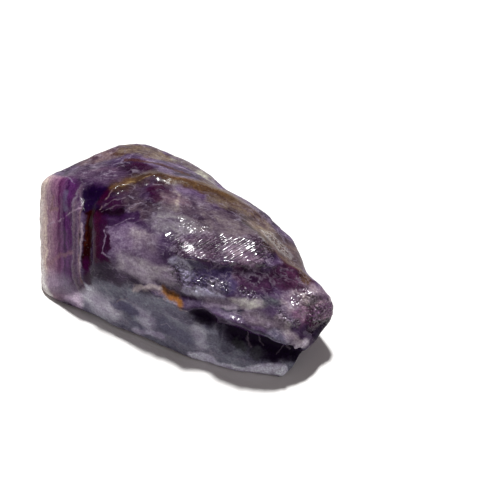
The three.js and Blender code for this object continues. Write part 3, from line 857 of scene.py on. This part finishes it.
def make_streak_group():
    """A soft stroke from one place to another: 1 along its middle, 0 past its width."""
    inputs = {"Place": "Vector", "From": "Vector", "To": "Vector", "Width": "Float", "Core": "Float"}
    tree, bench, given = new_group("Streak", inputs, "Mask")
    along = bench.vector("SUBTRACT", given["To"], given["From"])
    reach = bench.vector("SUBTRACT", given["Place"], given["From"])
    share = bench.math(
        "DIVIDE",
        bench.vector("DOT_PRODUCT", reach, along),
        bench.vector("DOT_PRODUCT", along, along),
    )
    share = bench.math("MINIMUM", bench.math("MAXIMUM", share, 0.0), 1.0)
    gap = bench.vector("DISTANCE", reach, bench.scaled(along, share))
    inner = bench.math("MULTIPLY", given["Width"], given["Core"])
    bench.node("NodeGroupOutput", {"Mask": bench.fade(gap, given["Width"], inner)})
    return tree


def make_threads_group():
    """Thin winding threads: 1 on them and 0 between, the thread as wide as Width says."""
    inputs = {"Place": "Vector", "Scale": "Float", "Width": "Float"}
    tree, bench, given = new_group("Threads", inputs, "Mask")
    field = bench.noise(given["Place"], given["Scale"], 1.5, 0.5, 0.4)
    off_middle = bench.math("ABSOLUTE", bench.math("SUBTRACT", field, 0.5))
    bench.node("NodeGroupOutput", {"Mask": bench.fade(off_middle, given["Width"], 0.0)})
    return tree


def make_facets_group():
    """A surface of little planes, each with a tilt of its own, as a height in mm."""
    inputs = {"Place": "Vector", "Size": "Float", "Steepness": "Float"}
    tree, bench, given = new_group("Facets", inputs, "Height")
    cells = bench.node(
        "ShaderNodeTexVoronoi",
        {"Vector": given["Place"], "Scale": bench.math("DIVIDE", 1.0, given["Size"])},
        feature="F1",
    )
    tilt = bench.vector("SUBTRACT", cells.outputs["Color"], (0.5, 0.5, 0.5))
    offset = bench.vector("SUBTRACT", given["Place"], cells.outputs["Position"])
    rise = bench.vector("DOT_PRODUCT", tilt, offset)
    bench.node("NodeGroupOutput", {"Height": bench.math("MULTIPLY", rise, given["Steepness"])})
    return tree


def along_axes(bench, place, across, along, stretch):
    """PLACE seen from the fibres: across them, along them squeezed by STRETCH, and off them."""
    off = Vector(across).cross(Vector(along)).normalized()
    return bench.node(
        "ShaderNodeCombineXYZ",
        {
            "X": bench.vector("DOT_PRODUCT", place, across),
            "Y": bench.math("MULTIPLY", bench.vector("DOT_PRODUCT", place, along), stretch),
            "Z": bench.vector("DOT_PRODUCT", place, tuple(off)),
        },
    ).outputs[0]


class Painter(Bench):
    """A bench that knows the places on the stone, and lays one colour over another."""

    def __init__(self, tree):
        super().__init__(tree)
        self.streak = make_streak_group()
        self.threads = make_threads_group()
        self.place = self.scaled(self.node("ShaderNodeTexCoord").outputs["Object"], 1 / MM)
        self.soft = self.strayed(*SOFT_EDGE)
        self.torn = self.strayed(*TORN_EDGE)
        self.neat = self.strayed(*NEAT_EDGE)

    def strayed(self, by, scale, detail):
        """The place, moved about by up to half of BY."""
        sway = self.noise(self.place, scale, detail, output="Color")
        centred = self.vector("SUBTRACT", sway, (0.5, 0.5, 0.5))
        return self.vector("ADD", self.place, self.scaled(centred, by))

    def zone(self, line, width, core, edge):
        """A mask round a bent line: 1 within the core, 0 past the width."""
        mask = None
        for start, end in zip(line, line[1:]):
            made = self.group(self.streak, Place=edge, From=start, To=end, Width=width, Core=core)
            mask = self.highest(mask, made["Mask"])
        return mask

    def lay(self, paint, code, amount, *masks):
        """PAINT with a colour laid over it where all the masks are."""
        for mask in masks:
            amount = self.math("MULTIPLY", amount, mask)
        return self.mix(paint, colour(code), amount)

    def lay_threads(self, paint, threads, place, where):
        code, amount, scale, width = threads
        mask = self.group(self.threads, Place=place, Scale=scale, Width=width)["Mask"]
        return self.lay(paint, code, amount, where, mask)

    def calmed(self, mask, calm):
        """MASK drawn towards its middle by CALM."""
        return self.math("MULTIPLY_ADD", self.math("SUBTRACT", 0.5, mask), calm, mask)


def lay_fields(brush):
    """Smoky violet ground, cloudier in places, with the soft fields over it."""
    cloud = brush.fade(brush.noise(brush.soft, 0.22, 3.0, 0.5), 0.36, 0.64)
    deep, cloudy = GROUND
    paint = brush.mix(colour(deep), colour(cloudy), cloud)
    for name, amount, width, core, line in FIELDS:
        paint = brush.lay(paint, COLOURS[name], amount, brush.zone(line, width, core, brush.soft))
    return paint


def lay_dark_places(brush, paint, front):
    """The torn patches and stains over PAINT, with the dark glass under the ledge partly painted shade, and
    the mask of what is clear dark glass.
    """
    front_torn = brush.vector("MULTIPLY", brush.torn, (1, 0, 1))
    front_neat = brush.vector("MULTIPLY", brush.neat, (1, 0, 1))
    glassy = None
    for name, amount, width, core, line in STAINS + DARK_GLASS_AND_SHADE:
        seen_from_front = len(line[0]) == 2
        if seen_from_front:
            line = [(x, 0, z) for x, z in line]
            mask = brush.math("MULTIPLY", front, brush.zone(line, width, core, front_torn))
        else:
            mask = brush.zone(line, width, core, brush.torn)
        paint = brush.lay(paint, COLOURS[name], amount, mask)
        if name in GLASSY:
            glassy = brush.highest(glassy, mask)
    for amount, width, line in WISPS:
        line = [(x, 0, z) for x, z in line]
        paint = brush.lay(paint, WISP_COLOUR, amount, front, brush.zone(line, width, 0.1, front_neat))
    return paint, glassy


def lay_bands(brush, paint):
    """The banded face: growth bands, finer hairs along them, and marks of its own."""
    banded = along_axes(brush, brush.torn, BAND_ACROSS, BAND_ALONG, BAND_STRETCH)
    across = brush.vector("DOT_PRODUCT", brush.neat, BAND_ACROSS)
    sway = brush.math("SUBTRACT", brush.noise(banded, 0.9, 4.0, 0.6), 0.5)
    sway = brush.math("MULTIPLY", sway, BAND_SWAY)
    ramp = brush.node("ShaderNodeValToRGB")
    first, last = BANDS[0][0], BANDS[-1][0]
    stops = ramp.color_ramp.elements
    stops[0].position = 0
    stops[0].color = colour(BANDS[0][1])
    stops[1].position = 1
    stops[1].color = colour(BANDS[-1][1])
    for stands_at, code in BANDS[1:-1]:
        stops.new((stands_at - first) / (last - first)).color = colour(code)
    share = brush.node(
        "ShaderNodeMapRange",
        {"Value": brush.math("ADD", across, sway), "From Min": first, "From Max": last},
    ).outputs["Result"]
    brush.tree.links.new(share, ramp.inputs["Fac"])
    hairs = brush.fade(brush.noise(banded, 2.6, 3.0, 0.6), 0.3, 0.7)
    bands = brush.toned(ramp.outputs["Color"], hairs, *BAND_HAIRS)
    for code, amount, width, line in BAND_MARKS:
        bands = brush.lay(bands, code, amount, brush.zone(line, width, 0.2, brush.neat))
    depth = brush.fade(brush.vector("DOT_PRODUCT", brush.place, BAND_FACING), *BAND_DEPTH)
    across = brush.vector("DOT_PRODUCT", brush.place, BAND_ACROSS)
    inside = brush.fade(across, BAND_END, BAND_END - BAND_BLEND)
    return brush.mix(paint, bands, brush.math("MULTIPLY", depth, inside))


def small_relief(brush, sparkly, glassy, front):
    """The normal of the surface with its small crystal faces and lumps."""
    facets = make_facets_group()
    crystals = brush.group(facets, Place=brush.place, Size=CRYSTAL_SIZE, Steepness=CRYSTAL_STEEPNESS)
    lumps = brush.math("MULTIPLY", brush.noise(brush.place, 1.1, 4.0, 0.5), LUMP_HEIGHT)
    amount = brush.math("MULTIPLY_ADD", sparkly, 0.9, 0.08)
    height = brush.math("MULTIPLY_ADD", crystals["Height"], amount, lumps)
    tilt = brush.math("MULTIPLY", brush.math("MULTIPLY", glassy, front), HOLLOW_TILT)
    raised = brush.node("ShaderNodeCombineXYZ", {"Z": tilt}).outputs[0]
    facing = brush.vector("ADD", brush.node("ShaderNodeNewGeometry").outputs["Normal"], raised)
    bump = brush.node(
        "ShaderNodeBump",
        {
            "Height": height,
            "Strength": 1.0,
            "Distance": 1.0 * MM,
            "Normal": brush.vector("NORMALIZE", facing),
        },
    )
    return bump.outputs["Normal"]


def make_amethyst():
    material, tree = material_tree("amethyst")
    brush = Painter(tree)
    paint = lay_fields(brush)

    # the stone is deeper and purer violet where it is clear, and paler where it is milky
    front = brush.fade(brush.vector("DOT_PRODUCT", brush.place, (0, 1, 0)), *FRONT_REACH)
    calm = brush.math("MULTIPLY", front, FRONT_CALM)
    drift = brush.fade(brush.noise(brush.soft, 0.32, 2.0, 0.5, 0.6), 0.34, 0.66)
    paint = brush.toned(paint, brush.calmed(drift, calm), *DRIFT)
    grained = along_axes(brush, brush.torn, GRAIN_SIDE, GRAIN, GRAIN_STRETCH)
    streaks = brush.fade(brush.noise(grained, 0.8, 2.0, 0.5, 0.8), 0.32, 0.68)
    paint = brush.toned(paint, brush.calmed(streaks, calm), *STREAKS)

    # pale threads, in drifts of their own
    where = brush.fade(brush.noise(brush.place, 0.4, 3.0), 0.42, 0.6)
    paint = brush.lay_threads(paint, LONG_THREADS, grained, where)
    where = brush.fade(brush.noise(brush.soft, 0.5, 2.0), 0.4, 0.6)
    paint = brush.lay_threads(paint, SHORT_THREADS, grained, where)

    # dark places, cracks, painted edge light and fibres, and the banded face over them
    paint, glassy = lay_dark_places(brush, paint, front)
    for code, amount, width, line in CRACKS_AND_EDGE_LIGHT:
        paint = brush.lay(paint, code, amount, brush.zone(line, width, 0.1, brush.neat))
    fibres = brush.fade(brush.noise(grained, 1.6, 2.0, 0.5, 0.6), 0.3, 0.7)
    paint = brush.toned(paint, brush.calmed(fibres, calm), *FIBRES)
    paint = lay_bands(brush, paint)

    # fine grain: the colour a little lighter and darker from place to place
    specks = brush.fade(brush.noise(brush.place, 3.4, 2.0, 0.6), 0.3, 0.7)
    paint = brush.toned(paint, specks, *SPECKS)

    # broken ground sparkles, and so does the combed flat; white specks are painted on both as painted glints
    sparkly = None
    for _, reach, line in ROUGH_GROUND:
        sparkly = brush.highest(sparkly, brush.zone(line, reach * 1.15, 0.6, brush.torn))
    combed = brush.zone(COMB_LINE, COMB_REACH, 0.7, brush.torn)
    broken = brush.highest(sparkly, combed)
    shiny = brush.highest(broken, glassy)
    painted_glint_specks = brush.fade(brush.noise(brush.place, 4.2, 2.0, 0.6), 0.56, 0.66)
    paint = brush.lay(paint, *PAINTED_GLINTS, painted_glint_specks, broken)
    dull = brush.fade(brush.noise(brush.place, 0.9, 4.0), 0.35, 0.65)
    roughness = brush.node(
        "ShaderNodeMapRange",
        {"Value": shiny, "To Min": brush.math("MULTIPLY_ADD", dull, 0.14, 0.2), "To Max": SMOOTH},
    ).outputs["Result"]
    gloss = brush.math("MULTIPLY_ADD", broken, BROKEN_GLOSS, PLAIN_GLOSS)
    gloss = brush.math("MULTIPLY", gloss, brush.math("MULTIPLY_ADD", glassy, -GLASS_DULLING, 1.0))
    normal = small_relief(brush, sparkly, glassy, front)

    shader = brush.node(
        "ShaderNodeBsdfPrincipled",
        {
            "Base Color": paint,
            "Roughness": roughness,
            "IOR": QUARTZ_IOR,
            "Specular IOR Level": 0.0,
            "Coat Weight": brush.math("MAXIMUM", gloss, LEAST_GLOSS),
            "Coat Roughness": SMOOTH,
            "Coat IOR": QUARTZ_IOR,
            "Transmission Weight": SEE_THROUGH,
            "Normal": normal,
        },
    )
    absorb = brush.node("ShaderNodeVolumeAbsorption", {"Color": DEEP_COLOUR, "Density": DEEP_DENSITY})
    brush.node(
        "ShaderNodeOutputMaterial",
        {"Surface": shader.outputs[0], "Volume": absorb.outputs[0]},
    )
    return material


# Floor, light and camera

# The table, in metres and colour.
TABLE_SIZE = 4
TABLE_COLOUR = "efeeec"

# The lamps: name, turn from the camera's side and height in degrees, distance, size and power.
LAMPS = [
    ("key", 180, 67, 0.8, 0.08, 9.0),
    ("glint", 75, 50, 0.8, 0.04, 0.25),
]
ROOM_COLOUR = (1.0, 0.88, 0.9, 1)
ROOM_LIGHT = 0.16


def make_floor():
    bpy.ops.object.select_all(action="DESELECT")
    bpy.ops.mesh.primitive_plane_add(size=TABLE_SIZE)
    floor = bpy.context.object
    floor.name = "white_table"
    material, tree = material_tree("white_table")
    bench = Bench(tree)
    shader = bench.node("ShaderNodeBsdfPrincipled", {"Base Color": colour(TABLE_COLOUR), "Roughness": 0.7})
    bench.node("ShaderNodeOutputMaterial", {"Surface": shader.outputs[0]})
    floor.data.materials.append(material)


def look_from(azimuth, elevation):
    """The direction from the stone to a place seen at AZIMUTH and ELEVATION, in degrees."""
    a, e = math.radians(azimuth), math.radians(elevation)
    return Vector((math.sin(a) * math.cos(e), -math.cos(a) * math.cos(e), math.sin(e)))


def add_softbox(name, azimuth, elevation, distance, size, power):
    lamp = bpy.data.lights.new(name, "AREA")
    lamp.shape = "DISK"
    lamp.size = size
    lamp.energy = power
    box = bpy.data.objects.new(name, lamp)
    direction = look_from(azimuth, elevation)
    box.location = VIEW_MIDDLE + direction * distance
    box.rotation_euler = direction.to_track_quat("Z", "Y").to_euler()
    bpy.context.collection.objects.link(box)


def make_lights():
    for name, turn, elevation, distance, size, power in LAMPS:
        add_softbox(name, VIEW_AZIMUTH + turn, elevation, distance, size, power)
    world = bpy.data.worlds.new("studio")
    world.use_nodes = True
    room = world.node_tree.nodes["Background"]
    room.inputs["Color"].default_value = ROOM_COLOUR
    room.inputs["Strength"].default_value = ROOM_LIGHT
    bpy.context.scene.world = world
    bpy.context.scene.view_settings.view_transform = "Standard"


def make_camera():
    data = bpy.data.cameras.new("camera")
    data.lens = LENS
    camera = bpy.data.objects.new("camera", data)
    back = look_from(VIEW_AZIMUTH, VIEW_ELEVATION)
    camera.location = VIEW_MIDDLE + back * VIEW_DISTANCE
    camera.rotation_euler = (-back).to_track_quat("-Z", "Y").to_euler()
    data.clip_start = 0.01
    bpy.context.collection.objects.link(camera)
    bpy.context.scene.camera = camera


stone = make_stone()
stone.data.materials.append(make_amethyst())
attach(stone, "root")
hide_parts("amethyst_stone")
make_floor()
make_lights()
make_camera()
